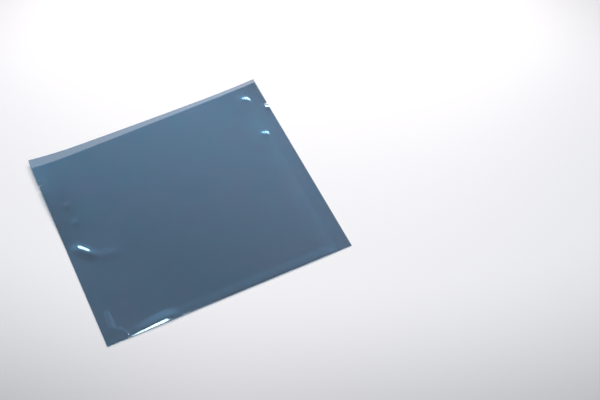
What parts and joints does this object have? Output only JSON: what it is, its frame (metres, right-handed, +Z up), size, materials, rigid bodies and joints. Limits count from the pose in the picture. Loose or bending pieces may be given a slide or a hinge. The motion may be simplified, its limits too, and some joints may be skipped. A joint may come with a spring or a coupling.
{
  "type": "anti static shielding bag",
  "caption": "Flat open-top bag of see-through metallised film, folded at the bottom and heat sealed down both sides, with a lip along the mouth and a tear notch in each seal.",
  "frame": {"origin": "centre of the outline, on the surface that the bag lies on", "axes": "+X along the mouth, +Y from the fold to the mouth, +Z up through the front sheet"},
  "size_m": [0.1714, 0.1574, 0.0034],
  "materials": {
    "shielding_film": "glossy metallised film, blue-grey and see-through"
  },
  "bodies": {
    "root": {"pouch": "shielding_film"}
  },
  "joints": []
}
